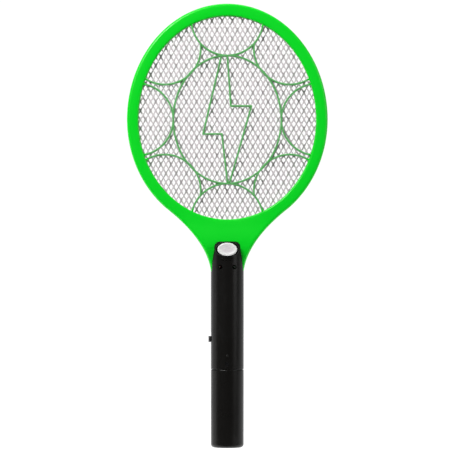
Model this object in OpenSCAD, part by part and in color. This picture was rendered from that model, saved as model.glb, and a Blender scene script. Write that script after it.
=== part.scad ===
// Electric fly swatter: a racket-shaped head with three wire nets, a moulded
// neck with the high-voltage board, and a round handle for two AA cells.
// Units are millimetres. The swatter stands on the flat end of its handle:
// +Z runs along its length, the front with the push button faces -Y, and the
// origin is the centre of the handle's flat end.

/* [Head ring] */
// Half width of the head ring, outside
ring_a = 104; // [102:0.5:106]
// Height of the ring's centre above the flat end of the handle
head_z = 340; // [338:0.5:342]
// Half height of the ring above its centre, outside
ring_top = 120; // [118:0.5:122]
// Half height of the ring below its centre, outside
ring_bottom = 116; // [115:0.5:117]
// Width of the ring's face at its sides
ring_w = 12; // [11:0.5:13]
// Half thickness of the ring, front to back
ring_t = 7.8; // [7.4:0.1:8.4]

/* [Guard ribs] */
// Width of a moulded guard rib
rib_w = 2; // [1.6:0.1:2.6]
// Half width of the oval rib in the middle of the head
oval_a = 56; // [54:0.5:58]
// Half height of the oval rib in the middle of the head
oval_b = 66.4; // [65:0.2:68]
// Radius of each of the eight arcs around the oval
arc_r = 37.3; // [36:0.1:38]

/* [Nets] */
// Width of one diamond opening of the expanded metal, strand to strand
cell_w = 10.6; // [10:0.2:12]
// Height of one diamond opening of the expanded metal, strand to strand
cell_h = 18.6; // [17:0.2:20]
// Width of a strand
strand_w = 1.3; // [1.1:0.1:1.8]
// Thickness of the net's sheet
net_t = 0.5; // [0.4:0.05:0.6]
// Distance between the middle of one net and the next
net_gap = 4.2; // [4:0.05:4.3]

/* [Neck] */
// Half thickness of the neck where it meets the handle
neck_t = 10.7; // [10.5:0.1:11]

/* [Handle] */
// Outer radius of the handle
grip_r = 17; // [16.9:0.1:17.4]
// Wall of the handle's two shells
grip_wall = 2.4; // [2.2:0.1:2.5]
// Height of the seam between the battery cap and the handle
seam_z = 81; // [80.6:0.1:81.4]
// Rounding at the bottom edge of the battery cap
cap_round = 3.5; // [2.5:0.5:4]
// Wall of the battery cap
cap_wall = 1.8; // [1.6:0.1:1.9]

/* [Button] */
// Width of the push button
button_w = 20.2; // [19.2:0.1:20.4]
// Height of the push button
button_h = 13.5; // [12.5:0.1:13.6]
// Height of the button's centre above the flat end of the handle
button_z = 205.6; // [205.4:0.1:205.8]
// How far the button stands proud of its seat
button_proud = 1.4; // [1.3:0.1:2]

/* [Hidden] */
$fn = 64;

green = "#0ad923";
black = "#1b1b1b";

// ring, openings and nets
in_a = ring_a - ring_w;
in_top = ring_top - ring_w - 1;
in_bottom = ring_bottom - ring_w - 0.5;
pocket = 7.2;               // the nets' pocket reaches this far out past the opening
net_grow = 6.6;             // the nets reach this far out past the opening
net_y = net_gap + net_t / 2;    // outer face of the front and rear nets
rib_y0 = net_y + 0.05;      // back of the ribs, on the net
rib_y1 = ring_t - 0.6;      // front of the ribs

// neck outline: half width w at height h above the neck's foot
neck_z = 183;
blend_h = 65;
neck_slope = 0.143;
blend_x = ring_a * sqrt(1 - pow((head_z - neck_z - blend_h) / ring_bottom, 2));
neck_k = (blend_x - grip_r - neck_slope * blend_h) / (blend_h * blend_h);
function neck_w(h) = grip_r + neck_slope * h + neck_k * h * h;
slope_z0 = 215;
slope_z1 = 237;
// half thickness of the neck where the handle's tongues wrap round it
foot_t = 5;
flare_z0 = 182;
flare_z1 = 211;
function ease(t) = t * t * (3 - 2 * t);
function foot(z) = foot_t + (neck_t - foot_t) * ease(min(max((z - flare_z0) / (flare_z1 - flare_z0), 0), 1));
flare = [for (z = [neck_z:4:flare_z1]) z];

// tongue of the handle on the neck
tongue_z = 213.7;
bore_r = grip_r - grip_wall;
wall = 2;

// board
board_y0 = -4.4;
board_y1 = -2.8;
pillar_z = [104, 165];
button_back = 13.1;
travel = 1.2;

// battery bay
cell_r = 7.1;
cell_x = 7.3;
cell_body = 49.5;
nub_h = 1;
nub_r = 2.7;
bay_z = 12.5;               // top of the cradle's lower disc
plate_t = 0.4;
spring_h = 6;
cell_z = bay_z + plate_t;
top_contact_z = cell_z + spring_h + cell_body + nub_h;
cradle_r = 14.6;
cradle_y = 11.6;

// ---------------------------------------------------------------- helpers

// an oval in two half ellipses about the head's centre
function oval_points(a, bt, bb, n) = [for (i = [0:n - 1])
    let (t = 360 * i / n) [a * cos(t), head_z + (sin(t) >= 0 ? bt : bb) * sin(t)]];

// the opening of the ring, grown outwards by g
module opening_2d(g = 0, n = 120)
    polygon(oval_points(in_a + g, in_top + g, in_bottom + g, n));

// an ellipse about the origin
module ellipse_2d(a, b, n = 72)
    polygon([for (i = [0:n - 1]) [a * cos(360 * i / n), b * sin(360 * i / n)]]);

// an outline drawn in X and Z, from y0 at the front to y1 at the back
module plate(y0, y1) translate([0, y1, 0]) rotate([90, 0, 0]) linear_extrude(y1 - y0) children();

module box(lo, hi) translate(lo) cube([hi[0] - lo[0], hi[1] - lo[1], hi[2] - lo[2]]);

// a cylinder along Y
module rod_y(x, z, r, y0, y1) translate([x, y1, z]) rotate([90, 0, 0]) cylinder(r = r, h = y1 - y0);

// everything in front of y = 0, and everything behind it
module front_half() intersection() { children(); box([-130, -40, -5], [130, 0, 470]); }
module rear_half() intersection() { children(); box([-130, 0, -5], [130, 40, 470]); }

// a wire through points, with slightly proud balls at the bends
module wire(pts, r) {
    for (i = [0:len(pts) - 2]) let (d = pts[i + 1] - pts[i], l = norm(d))
        translate(pts[i]) rotate([0, acos(d[2] / l), atan2(d[1], d[0])]) cylinder(r = r, h = l);
    if (len(pts) > 2) for (i = [1:len(pts) - 2]) translate(pts[i]) sphere(r = r + 0.04);
}

// a coil spring of round wire from z0 to z1: the tube follows a widening helix
module coil_spring(x, z0, z1, r0, r1, wire_r, turns) {
    sides = 8;
    rings = round(turns * 14);
    function at(i) = let (t = i / rings, a = 360 * turns * t, r = r0 + (r1 - r0) * t)
        [x + r * cos(a), r * sin(a), z0 + wire_r + (z1 - z0 - 2 * wire_r) * t];
    function out(i) = let (a = 360 * turns * i / rings) [cos(a), sin(a), 0];
    pts = [for (i = [0:rings]) for (j = [0:sides - 1])
        at(i) + wire_r * (cos(360 * j / sides) * out(i) + [0, 0, sin(360 * j / sides)])];
    faces = concat(
        [[for (j = [0:sides - 1]) j]],
        [for (i = [0:rings - 1]) for (j = [0:sides - 1]) let (k = (j + 1) % sides)
            [i * sides + j, (i + 1) * sides + j, (i + 1) * sides + k, i * sides + k]],
        [[for (j = [sides - 1:-1:0]) rings * sides + j]]);
    polyhedron(points = pts, faces = faces, convexity = 10);
}

// ------------------------------------------------------------------- head

// neck and ring in one outline
module head_outline_2d() {
    steps = 22;
    arc_n = 132;
    z1 = neck_z + blend_h;
    t0 = asin((head_z - z1) / ring_bottom);
    right = [for (i = [0:steps - 1]) [neck_w(blend_h * i / steps), neck_z + blend_h * i / steps]];
    arc = [for (i = [0:arc_n]) let (t = -t0 + (180 + 2 * t0) * i / arc_n)
        [ring_a * cos(t), head_z + (sin(t) >= 0 ? ring_top : ring_bottom) * sin(t)]];
    left = [for (i = [steps - 1:-1:0]) [-neck_w(blend_h * i / steps), neck_z + blend_h * i / steps]];
    polygon(concat(right, arc, left));
}

// side view of one half: thick at the neck, thin at the ring
module side_prism(inset = 0) rotate([90, 0, 90]) translate([0, 0, -130]) linear_extrude(260)
    polygon(concat([[0, neck_z - 30], [-foot(neck_z) + inset, neck_z - 30]],
        [for (z = flare) [-foot(z) + inset, z]],
        [[-neck_t + inset, flare_z1], [-neck_t + inset, slope_z0],
        [-ring_t + inset, slope_z1], [-ring_t + inset, head_z + ring_top + 5], [0, head_z + ring_top + 5]]));

// hollow of the neck
module neck_hollow_2d() polygon(concat(
    [for (h = [3:3:36]) [neck_w(h) - 2.4, neck_z + h]],
    [for (h = [36:-3:3]) [-neck_w(h) + 2.4, neck_z + h]]));

// places of the screws that hold the two frames together
screw_angles = [22.5, 67.5, 112.5, 157.5, 202.5, 245, 295, 337.5];
ring_screws = [for (t = screw_angles)
    [(ring_a - 2.8) * cos(t), head_z + (sin(t) >= 0 ? ring_top : ring_bottom - 0.4) * sin(t) - 2.8 * sin(t)]];
neck_screws = [[20.5, 217], [-20.5, 217]];

// one guard arc as a band
module arc_band(x, z) translate([x, head_z + z]) difference() {
    circle(r = arc_r + rib_w / 2);
    circle(r = arc_r - rib_w / 2);
}
arc_top = oval_b + arc_r;
arc_side = oval_a + arc_r;
arc_dx = 64.8;
arc_dz = 73.6;

// the lightning-bolt outline in the middle of the guard
bolt = [[-6.1, 66], [0.1, 66], [3.7, 14], [25, 14], [2.7, -64.7], [0.1, -64.7], [-5.6, -15], [-25.1, -15]];
module bolt_band() for (i = [0:len(bolt) - 1]) let (p = bolt[i], q = bolt[(i + 1) % len(bolt)], d = q - p)
    translate([p[0], head_z + p[1]]) rotate(atan2(d[1], d[0]))
        translate([-rib_w / 2, -rib_w / 2]) square([norm(d) + rib_w, rib_w]);

// guard pattern of one frame
module guard(y0, y1) {
    plate(y0, y1) difference() {
        translate([0, head_z]) ellipse_2d(oval_a + rib_w / 2, oval_b + rib_w / 2, 96);
        translate([0, head_z]) ellipse_2d(oval_a - rib_w / 2, oval_b - rib_w / 2, 96);
    }
    plate(y0, y1) bolt_band();
    // arcs above and below
    plate(y0, y1) intersection() {
        opening_2d(2);
        union() { arc_band(0, arc_top); arc_band(0, -arc_top); }
    }
    // diagonal arcs, stopping at the upper and lower ones
    for (sx = [-1, 1]) for (sz = [-1, 1])
        plate(y0, y1) difference() {
            intersection() { opening_2d(2); arc_band(sx * arc_dx, sz * arc_dz); }
            translate([0, head_z + sz * arc_top]) circle(r = arc_r - rib_w / 4);
        }
    // side arcs, stopping at the diagonal ones
    for (sx = [-1, 1])
        plate(y0, y1) difference() {
            intersection() { opening_2d(2); arc_band(sx * arc_side, 0); }
            for (sz = [-1, 1]) translate([sx * arc_dx, head_z + sz * arc_dz]) circle(r = arc_r - rib_w / 4);
        }
}

// half of the moulded frame, drawn as the front one
module frame_half(front) {
    difference() {
        union() {
            difference() {
                union() {
                    intersection() {
                        plate(-neck_t - 1, 0) head_outline_2d();
                        side_prism();
                    }
                    // round core of the neck's foot, inside the handle's tongue
                    intersection() {
                        translate([0, 0, neck_z]) cylinder(r = bore_r - 0.1, h = flare_z1 - neck_z);
                        box([-20, -neck_t, neck_z - 1], [20, 0, flare_z1 + 1]);
                    }
                }
                plate(-40, 1) opening_2d();
                // hollow neck
                intersection() {
                    plate(-40, 1) neck_hollow_2d();
                    side_prism(wall);
                }
            }
            // bosses of the neck screws
            for (p = neck_screws) rod_y(p[0], p[1], 2.9, -8.9, 0);
            // half tube that goes down into the handle
            difference() {
                front_half() translate([0, 0, 150]) cylinder(r = bore_r - 0.1, h = neck_z - 150 + 1);
                translate([0, 0, 149]) cylinder(r = bore_r - 2.1, h = 40);
                box([-20, -neck_t - 10, neck_z], [20, -neck_t, neck_z + 5]);
            }
        }
        // way from the tube into the neck
        intersection() {
            translate([0, 0, 170]) cylinder(r = bore_r - 2.1, h = 42);
            box([-20, -neck_t + wall, 170], [20, 1, 212]);
        }
        // pocket of the nets and their spacers, and the way for the net leads
        plate(-net_y, 1) opening_2d(pocket);
        box([-12, -net_y - 0.6, neck_z + 34], [12, 1, head_z - in_bottom - 4]);
        // screws between the two frames
        for (p = concat(ring_screws, neck_screws)) {
            rod_y(p[0], p[1], front ? 1 : 1.15, -5.2, 1);
            if (!front) { rod_y(p[0], p[1], 1.15, -12, 1); rod_y(p[0], p[1], 1.95, -12, -ring_t + 1.6); }
        }
        // hole round the handle's screw pillar
        rod_y(0, pillar_z[1], 3.5, -20, 1);
        if (front) {
            rod_y(0, button_z, 3, -neck_t - 1, -5);
            for (s = [-1, 1]) rod_y(s * 7.3, 187.2, 2.1, -neck_t - 1, -5);
        }
    }
    guard(-rib_y1, -rib_y0);
    // posts that back the board behind the button
    if (!front) for (s = [-1, 1]) box([s * 9.4 - 1, -neck_t + 1.5, 198.6], [s * 9.4 + 1, -board_y1, 200.6]);
}

module front_frame() color(green) frame_half(true);
module rear_frame() color(green) mirror([0, 1, 0]) frame_half(false);

// diamonds of the expanded metal; dx shifts the pattern by half a cell
half_w = cell_w / 2;
half_h = cell_h / 2;
shrink = strand_w / 2 * sqrt(1 / (half_w * half_w) + 1 / (half_h * half_h));
function in_oval(x, z, a, bt, bb) = pow(x / a, 2) + pow((z - head_z) / (z > head_z ? bt : bb), 2) < 1;
module net_2d(dx, tab_x) {
    a = in_a + net_grow;
    bt = in_top + net_grow;
    bb = in_bottom + net_grow;
    dw = half_w * (1 - shrink);
    dh = half_h * (1 - shrink);
    difference() {
        union() {
            opening_2d(net_grow, 120);
            translate([tab_x - 2, head_z - bb - 5.5]) square([4, 10]);
        }
        intersection() {
            opening_2d(net_grow - 1.2, 120);
            union() for (i = [-20:20]) for (j = [-14:14])
                let (x = i * half_w + dx, z = head_z + j * half_h)
                if ((i + j) % 2 == 0 && in_oval(x, z, a + 3, bt + 4, bb + 4))
                    translate([x, z]) polygon([[-dw, 0], [0, -dh], [dw, 0], [0, dh]]);
        }
    }
}

module front_net() color("#cfcfcd") plate(-net_y, -net_y + net_t) net_2d(0, -8);
module inner_net() color("#c4c4c2") plate(-net_t / 2, net_t / 2) net_2d(half_w, 0);
module rear_net() color("#cfcfcd") plate(net_y - net_t, net_y) net_2d(0, 8);

// insulating ring between two nets
module spacer(y0, y1) plate(y0, y1) difference() {
    opening_2d(net_grow);
    opening_2d(1);
}
module front_net_spacer() color("#e9efe6") spacer(-net_y + net_t, -net_t / 2);
module rear_net_spacer() color("#e9efe6") spacer(net_t / 2, net_y - net_t);

// self-tapping screws, put in from the back
module frame_screws() color("#9a9a9c") for (p = concat(ring_screws, neck_screws)) {
    difference() {
        union() {
            rod_y(p[0], p[1], 1, -4.6, ring_t - 1.5);
            rod_y(p[0], p[1], 1.8, ring_t - 1.6, ring_t - 0.5);
        }
        box([p[0] - 1.2, ring_t - 1, p[1] - 0.2], [p[0] + 1.2, ring_t, p[1] + 0.2]);
        box([p[0] - 0.2, ring_t - 1, p[1] - 1.2], [p[0] + 0.2, ring_t, p[1] + 1.2]);
    }
}

// ----------------------------------------------------------------- handle

// a round-cornered outline for the tongue, w wide each side, up to z
module tongue_2d(w, z, r) polygon(concat(
    [[-w, 60], [w, 60]],
    [for (t = [0:10:90]) [w - r + r * cos(t), z - r + r * sin(t)]],
    [for (t = [90:10:180]) [-w + r + r * cos(t), z - r + r * sin(t)]]));

// outline of the handle seen from the front, with the tongue's rounded top
module handle_2d() polygon(concat(
    [[-grip_r - 0.01, 60], [grip_r + 0.01, 60], [grip_r + 0.01, 198]],
    [for (t = [0:10:90]) [7.5 + 6.2 * cos(t), tongue_z - 6.2 + 6.2 * sin(t)]],
    [for (t = [90:10:180]) [-7.5 + 6.2 * cos(t), tongue_z - 6.2 + 6.2 * sin(t)]],
    [[-grip_r - 0.01, 198]]));

// room for the neck between the two tongues, in side view
module neck_room() rotate([90, 0, 90]) translate([0, 0, -40]) linear_extrude(80)
    polygon(concat([[5, neck_z - 0.1], [-foot(neck_z) - 0.05, neck_z - 0.1]],
        [for (z = flare) [-foot(z) - 0.05, z]],
        [[-neck_t - 0.05, flare_z1], [-neck_t - 0.05, tongue_z + 5], [5, tongue_z + 5]]));

// one shell of the handle, drawn as the front one
module shell_half(front) difference() {
    union() {
        front_half() difference() {
            intersection() {
                rotate_extrude() polygon([[0, seam_z + 0.2], [grip_r - 0.5, seam_z + 0.2],
                    [grip_r, seam_z + 0.7], [grip_r, tongue_z + 1], [0, tongue_z + 1]]);
                plate(-40, 1) handle_2d();
            }
            intersection() {
                translate([0, 0, 60]) cylinder(r = bore_r, h = tongue_z);
                plate(-40, 1) tongue_2d(bore_r, tongue_z - 2.2, 8);
            }
            neck_room();
        }
        // ribs that hold the battery cradle
        front_half() for (z = [seam_z + 12.6, seam_z + 17]) difference() {
            translate([0, 0, z]) cylinder(r = bore_r + 0.2, h = 1.4);
            translate([0, 0, z - 1]) cylinder(r = 12.6, h = 4);
        }
        // screw pillars
        for (z = pillar_z) intersection() {
            rod_y(0, z, 3.2, -bore_r - 0.5, -0.05);
            cylinder(r = bore_r + 0.3, h = 300);
        }
        // ledges that hold the slide switch; the rear shell is mirrored front to back
        for (z = [103.4, 120]) intersection() {
            box([-bore_r - 0.2, -3.2, z], [-10, 0, z + 1.4]);
            cylinder(r = bore_r + 0.2, h = 300);
        }
        if (front) {
            // ribs in front of the board
            for (z = [130, 147.6]) intersection() {
                translate([0, 0, z]) cylinder(r = bore_r + 0.2, h = 1.6);
                box([-20, -20, z], [20, board_y0, z + 1.6]);
            }
            // flat oval seat of the button
            intersection() {
                plate(-grip_r, -neck_t - 0.05) handle_2d();
                plate(-grip_r, -button_back - 0.1) translate([0, button_z]) ellipse_2d(12.5, 8.2);
            }
            intersection() {
                plate(-grip_r, -neck_t - 0.05) handle_2d();
                plate(-grip_r, -neck_t - 0.05) translate([0, button_z]) difference() {
                    ellipse_2d(12.5, 8.2);
                    translate([0, -9]) square([30, 18], center = true);
                }
            }
        }
        // posts behind the board
        if (!front) for (s = [-1, 1]) intersection() {
            box([s * 9.8 - 1, -20, 147.6], [s * 9.8 + 1, -board_y1, 149.2]);
            cylinder(r = bore_r + 0.2, h = 300);
        }
    }
    // slot of the slide switch's knob
    box([-40, -2.3, 109.1], [-bore_r + 0.3, 1, 119.9]);
    // handle screws
    for (z = pillar_z) {
        rod_y(0, z, front ? 1.2 : 1.35, front ? -10 : -20, 1);
        if (!front) rod_y(0, z, 2.6, -20, -6);
    }
    if (front) {
        // lock screw of the battery cap
        rod_y(0, seam_z + 6, 1.1, -20, -bore_r + 1);
        rod_y(0, seam_z + 6, 2.1, -20, -grip_r + 1);
        // indicator windows
        for (s = [-1, 1]) rod_y(s * 7.3, 187.2, 2, -20, -11);
        // button hole and the pocket of its flange
        plate(-40, -neck_t) translate([0, button_z]) ellipse_2d(button_w / 2 + 0.3, button_h / 2 + 0.3);
        plate(-button_back - 0.1, -neck_t) translate([0, button_z - 0.4]) ellipse_2d(11.3, 7.35);
        // two thin grooves below the button
        for (z = [193.5, 195.9]) intersection() {
            difference() {
                translate([0, 0, z]) cylinder(r = grip_r + 1, h = 0.7);
                translate([0, 0, z - 1]) cylinder(r = grip_r - 0.6, h = 3);
            }
            box([-6.5, -20, z], [6.5, -10, z + 1]);
        }
        // shallow alignment dimple above the lock screw
        rod_y(0, seam_z + 14.4, 1.3, -20, -grip_r + 0.35);
    }
}
module handle_front_shell() color(black) shell_half(true);
module handle_rear_shell() color(black) mirror([0, 1, 0]) shell_half(false);

module handle_screws() color("#8d8d90") for (z = pillar_z) difference() {
    union() {
        rod_y(0, z, 1.2, -9.4, 6.1);
        rod_y(0, z, 2.4, 6, 7.6);
    }
    box([-1.5, 7, z - 0.25], [1.5, 8, z + 0.25]);
    box([-0.25, 7, z - 1.5], [0.25, 8, z + 1.5]);
}

// oval push button with a shallow dish, a flange behind its seat and a stem
module push_button() color("#f4f4f2") difference() {
    union() {
        plate(-grip_r - button_proud, -button_back) translate([0, button_z]) ellipse_2d(button_w / 2, button_h / 2);
        plate(-button_back, -button_back + 0.9) translate([0, button_z - 0.4]) ellipse_2d(10.95, 7);
        rod_y(0, button_z, 2.5, -button_back, -9.4);
    }
    plate(-grip_r - button_proud - 1, -grip_r - button_proud + 0.5) translate([0, button_z])
        ellipse_2d(button_w / 2 - 2.4, button_h / 2 - 2.1);
}

// --------------------------------------------------------- electric parts

module switch_plunger() color("#303030") rod_y(0, button_z, 1.75, -9.4, -6.5);

module tact_switch() color("#3c3c3e") difference() {
    union() {
        box([-3, -7.9, button_z - 3], [3, board_y0, button_z + 3]);
        for (sx = [-1, 1]) for (sz = [-1, 1])
            box([sx * 3.6 - 0.7, board_y0 - 0.3, button_z + sz * 2.2 - 0.35], [sx * 3.6 + 0.7, board_y0, button_z + sz * 2.2 + 0.35]);
    }
    rod_y(0, button_z, 1.9, -8, -4.9);
}

module circuit_board() color("#1d6b3a") difference() {
    box([-11, board_y0, 124], [11, board_y1, 214]);
    rod_y(0, pillar_z[1], 4, -10, 0);
}

module led(x) {
    rod_y(x, 187.2, 1.5, -13.6, -8.6);
    translate([x, -13.6, 187.2]) sphere(r = 1.5);
    for (s = [-1, 1]) rod_y(x + s * 0.75, 187.2, 0.3, -8.7, board_y0);
}
module led_left() color("#b81c1c") led(-7.3);
module led_right() color("#2aa53a") led(7.3);

// two E-cores with their middle leg through the coil
module transformer_core() color("#2d2d30") difference() {
    box([-7, 0.2, 132], [7, 6.2, 146]);
    for (s = [-1, 1]) box([s * 3.45 - 1.45, 0, 134.4], [s * 3.45 + 1.45, 7, 143.6]);
}
module transformer_coil() color("#b5722c") difference() {
    box([-4.85, board_y1, 134.5], [4.85, 9, 143.5]);
    box([-2, 0.2, 134], [2, 6.2, 144]);
}

module output_capacitor() color("#8c3b24") difference() {
    box([-7.5, board_y1, 189.6], [7.5, 4.6, 197.4]);
    for (s = [-1, 1]) box([s * 7.5 - 0.8, -5, 189], [s * 7.5 + 0.8, board_y1 + 0.8, 198]);
}

module disc_capacitors() color("#2f66b5") for (x = [-7, 0, 7])
    translate([x - 1.4, board_y1 + 3.4, 175.4]) rotate([0, 90, 0]) cylinder(r = 3.4, h = 2.8);

module diodes() color("#222226") for (x = [-5.2, 5.2]) for (z = [182, 185.6])
    translate([x - 3, board_y1 + 1.35, z]) rotate([0, 90, 0]) cylinder(r = 1.35, h = 6);

module resistors() color("#c9a777") for (z = [149.6, 153.2, 156.8])
    translate([2, board_y1 + 1.2, z]) rotate([0, 90, 0]) cylinder(r = 1.2, h = 6);

module transistor() color("#26262a") intersection() {
    translate([-5, board_y1 + 3.4, 148.6]) cylinder(r = 2.4, h = 9);
    box([-8, board_y1, 148.6], [-2, board_y1 + 4.8, 153.4]);
}

net_tab_z = head_z - in_bottom - net_grow - 5.5;
module front_net_terminal() color("#c9a13b") box([-9.4, -net_y + net_t, net_tab_z + 0.5], [-6.6, -1.4, net_tab_z + 3.5]);
module inner_net_terminal() color("#c9a13b") box([-1.4, -2.9, net_tab_z + 0.5], [1.4, -net_t / 2, net_tab_z + 3.5]);
module rear_net_terminal() color("#c9a13b") box([6.6, 2.2, net_tab_z + 0.5], [9.4, net_y - net_t, net_tab_z + 3.5]);

module lead_front_net() color("#d23a2e") wire([[-8, -2.1, net_tab_z + 0.5], [-8, -2.1, 205]], 0.65);
module lead_inner_net() color("#e8e8e6") wire([[0, -2.1, net_tab_z + 0.5], [0, -2.1, 205]], 0.65);
module lead_rear_net() color("#d23a2e") wire([[8, 3, net_tab_z + 0.5], [8, 3, 218.5], [8, -2.1, 214.5], [8, -2.1, 205]], 0.65);

// slide switch in the side of the handle; its knob moves up to switch on
module slide_switch() color("#77777a") difference() {
    union() {
        box([-14.2, -3.2, 104.8], [-9.2, 3.2, 120]);
        box([-9.3, -0.6, 108], [-6.9, 0.6, 108.5]);
        box([-9.3, -0.6, 112.25], [-6.9, 0.6, 112.75]);
        box([-9.3, -0.6, 116.5], [-8.5, 0.6, 117]);
    }
    box([-15, -1.6, 110], [-11.5, 1.6, 119.2]);
}
module slide_switch_knob() color("#161616") {
    difference() {
        box([-grip_r - 2.7, -1.95, 109.5], [-14.5, 1.95, 115.5]);
        for (z = [110.9, 112.7, 114.5]) translate([-grip_r - 2.9, -3, z - 0.35]) cube([0.9, 6, 0.7]);
    }
    box([-14.6, -1.2, 111], [-12, 1.2, 114]);
}

// ------------------------------------------------------------ battery bay

module cradle_disc(r, z0, z1) intersection() {
    translate([0, 0, z0]) cylinder(r = r, h = z1 - z0);
    box([-20, -cradle_y, z0], [20, cradle_y, z1]);
}
module battery_cradle() color("#2a2a2c") difference() {
    union() {
        cradle_disc(cradle_r, bay_z - 2.5, bay_z);
        cradle_disc(cradle_r, top_contact_z + plate_t, top_contact_z + plate_t + 2.5);
        // rails in front of and behind the cells
        for (s = [-1, 1]) box([-2, s * 8.6 - 3, bay_z - 1], [2, s * 8.6 + 3, top_contact_z + 1]);
        // neck with the thread of the lock screw, and the plate held by the shells
        box([-4.5, -cradle_y, top_contact_z + 2], [4.5, cradle_y, seam_z + 14.2]);
        translate([0, 0, seam_z + 14]) cylinder(r = bore_r - 0.1, h = 3);
    }
    rod_y(0, seam_z + 6, 0.9, -12, -4);
    // ways for the contact lugs and the leads
    for (s = [-1, 1]) {
        box([s * 7.5 - 1.6, -0.3, 60], [s * 7.5 + 1.6, 0.3, 80]);
        translate([s * 7.5, 0, seam_z + 13]) cylinder(r = 1, h = 6);
    }
}

// contact plates: a flat for one cell and a lug up to the lead
module contact(x) {
    intersection() {
        box([x - 4, -4, top_contact_z], [x + 4, 4, top_contact_z + plate_t]);
        cylinder(r = cradle_r - 0.2, h = 100);
    }
    box([x + (x > 0 ? 0.2 : -0.2) - 1.3, -0.2, top_contact_z], [x + (x > 0 ? 0.2 : -0.2) + 1.3, 0.2, 76]);
}
module positive_contact() color("#cfd0d2") contact(-cell_x);
module negative_contact() color("#cfd0d2") contact(cell_x);
module bridge_contact() color("#cfd0d2") intersection() {
    box([-11.6, -4, bay_z], [11.6, 4, bay_z + plate_t]);
    cylinder(r = cradle_r - 0.2, h = 100);
}
module upper_contact_spring() color("#b9babd")
    coil_spring(cell_x, top_contact_z - spring_h, top_contact_z, 2.2, 3.6, 0.4, 3.5);
module lower_contact_spring() color("#b9babd")
    coil_spring(-cell_x, cell_z, cell_z + spring_h, 3.6, 2.2, 0.4, 3.5);

// an AA cell; up tells which way its nub points
module cell(x, z, up) {
    translate([x, 0, z + (up ? 0 : nub_h)]) cylinder(r = cell_r, h = cell_body);
    translate([x, 0, up ? z + cell_body - 0.5 : z]) cylinder(r = nub_r, h = nub_h + 0.5);
}
module battery_cell_left() color("#b7a13c") cell(-cell_x, cell_z + spring_h, true);
module battery_cell_right() color("#b7a13c") cell(cell_x, cell_z, false);

module lead_battery_positive() color("#d23a2e") wire([[-7.5, 0, 76], [-7.5, 0, 108]], 0.65);
module lead_battery_negative() color("#26262a") wire([[7.5, 0, 76], [7.5, 0, 121], [7.5, -2.1, 126], [7.5, -2.1, 129]], 0.65);
module lead_switch_to_board() color("#d23a2e") wire([[-7.5, 0, 112.75], [-7.5, 0, 121], [-7.5, -2.1, 126], [-7.5, -2.1, 129]], 0.65);

// cup over the cells, with two tongues that slide into the handle; the front
// tongue has a slot, open at its top, for the shank of the lock screw
module battery_cap() color(black) difference() {
    union() {
        rotate_extrude() difference() {
            union() {
                square([grip_r - cap_round, seam_z - 0.7]);
                translate([0, cap_round]) square([grip_r, seam_z - 0.7 - cap_round]);
                translate([grip_r - cap_round, cap_round]) circle(r = cap_round);
                polygon([[0, seam_z - 1], [grip_r, seam_z - 1], [grip_r, seam_z - 0.7], [grip_r - 0.5, seam_z - 0.2], [0, seam_z - 0.2]]);
            }
            translate([0, 2.5]) square([grip_r - cap_wall, 100]);
            translate([-50, -10]) square([50, 120]);
        }
        for (s = [-1, 1]) {
            intersection() {
                translate([0, 0, 68]) cylinder(r = grip_r - cap_wall + 0.1, h = seam_z - 0.2 - 68);
                box([-6, s * 20 - 8, 60], [6, s * 20 + 8, 100]);
            }
            intersection() {
                translate([0, 0, seam_z - 2]) cylinder(r = bore_r - 0.3, h = 14);
                box([-6, s * 20 - 8, 60], [6, s * 20 + 8, 100]);
            }
        }
    }
    // slot of the lock screw
    rod_y(0, seam_z + 6, 1.4, -16, -10);
    box([-1.4, -16, seam_z + 6], [1.4, -10, seam_z + 20]);
}

module cap_lock_screw() color("#8d8d90") difference() {
    union() {
        rod_y(0, seam_z + 6, 1, -grip_r + 0.6, -cradle_y);
        rod_y(0, seam_z + 6, 0.9, -cradle_y - 0.1, -7);
        rod_y(0, seam_z + 6, 1.9, -grip_r + 0.15, -grip_r + 1);
    }
    box([-1.2, -grip_r, seam_z + 5.8], [1.2, -grip_r + 0.6, seam_z + 6.2]);
    box([-0.2, -grip_r, seam_z + 4.8], [0.2, -grip_r + 0.6, seam_z + 7.2]);
}

// --------------------------------------------------------------- assembly

front_frame();
rear_frame();
front_net();
inner_net();
rear_net();
front_net_spacer();
rear_net_spacer();
frame_screws();
handle_front_shell();
handle_rear_shell();
handle_screws();
push_button();
switch_plunger();
tact_switch();
circuit_board();
led_left();
led_right();
transformer_core();
transformer_coil();
output_capacitor();
disc_capacitors();
diodes();
resistors();
transistor();
front_net_terminal();
inner_net_terminal();
rear_net_terminal();
lead_front_net();
lead_inner_net();
lead_rear_net();
slide_switch();
slide_switch_knob();
battery_cradle();
positive_contact();
negative_contact();
bridge_contact();
upper_contact_spring();
lower_contact_spring();
battery_cell_left();
battery_cell_right();
lead_battery_positive();
lead_battery_negative();
lead_switch_to_board();
battery_cap();
cap_lock_screw();
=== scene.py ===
"""Looks of the electric fly swatter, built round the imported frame. Lengths in the builders below are in
millimetres and are scaled to metres when a mesh is made."""
import math

import bmesh
import bpy
from mathutils import Matrix, Vector, geometry


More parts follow.
